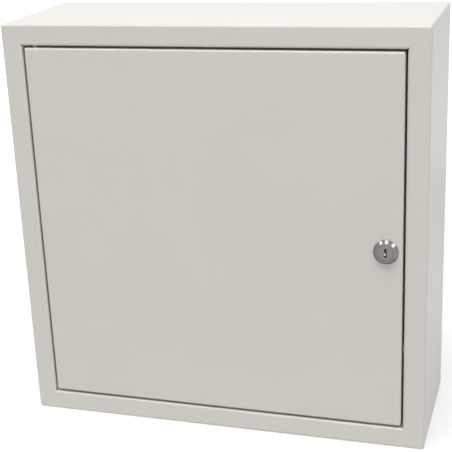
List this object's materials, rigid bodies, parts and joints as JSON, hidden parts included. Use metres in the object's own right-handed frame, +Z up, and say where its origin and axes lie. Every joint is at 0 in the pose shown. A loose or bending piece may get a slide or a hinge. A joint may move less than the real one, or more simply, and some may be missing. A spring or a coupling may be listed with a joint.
{
  "type": "steel wall enclosure",
  "caption": "Square wall-mounted sheet-steel enclosure with a flush hinged door, cam lock, mounting plate and gland plate.",
  "frame": {"origin": "centre of the rear face, on the plane of the wall", "axes": "+X to the right as seen from the front, +Y into the wall, +Z up"},
  "size_m": [0.4, 0.1436, 0.4],
  "materials": {
    "powder_coated_steel": "fine semi-gloss powder coat, light warm grey",
    "galvanised_steel": "matt galvanised sheet",
    "zinc_plated_steel": "bright zinc plate",
    "satin_chrome": "satin chrome on zinc die-casting",
    "nylon": "natural nylon",
    "buffer_rubber": "matt grey rubber",
    "seal_foam": "closed-cell foam"
  },
  "bodies": {
    "enclosure": {"body_shell": "powder_coated_steel", "back_panel": "powder_coated_steel", "door_stops": "powder_coated_steel", "stop_buffers": "buffer_rubber", "upper_hinge_pin": "zinc_plated_steel", "lower_hinge_pin": "zinc_plated_steel", "hinge_nuts": "zinc_plated_steel", "mounting_plate": "galvanised_steel", "plate_studs": "zinc_plated_steel", "plate_spacers": "zinc_plated_steel", "plate_washers": "zinc_plated_steel", "plate_nuts": "zinc_plated_steel", "body_earth_stud": "zinc_plated_steel", "body_earth_washer": "zinc_plated_steel", "body_earth_nut": "zinc_plated_steel", "gland_plate": "galvanised_steel", "gland_seal": "seal_foam", "gland_studs": "zinc_plated_steel", "gland_washers": "zinc_plated_steel", "gland_nuts": "zinc_plated_steel"},
    "door": {"door_panel": "powder_coated_steel", "upper_hinge_bush": "nylon", "lower_hinge_bush": "nylon", "lock_housing": "satin_chrome", "lock_washer": "zinc_plated_steel", "lock_nut": "zinc_plated_steel", "door_earth_stud": "zinc_plated_steel", "door_earth_washer": "zinc_plated_steel", "door_earth_nut": "zinc_plated_steel"},
    "lock_core": {"lock_plug": "satin_chrome", "lock_stop_disc": "zinc_plated_steel", "lock_cam": "zinc_plated_steel", "cam_washer": "zinc_plated_steel", "cam_screw": "zinc_plated_steel"}
  },
  "joints": [
    {"name": "door_hinge", "type": "hinge", "parent": "enclosure", "child": "door", "pos_m": [-0.1685, -0.13385, 0], "axis": [0, 0, -1], "range_deg": [0, 120]},
    {"name": "lock_turn", "type": "hinge", "parent": "door", "child": "lock_core", "pos_m": [0.163, -0.14, -0.0025], "axis": [0, -1, 0], "range_deg": [0, 90]}
  ]
}
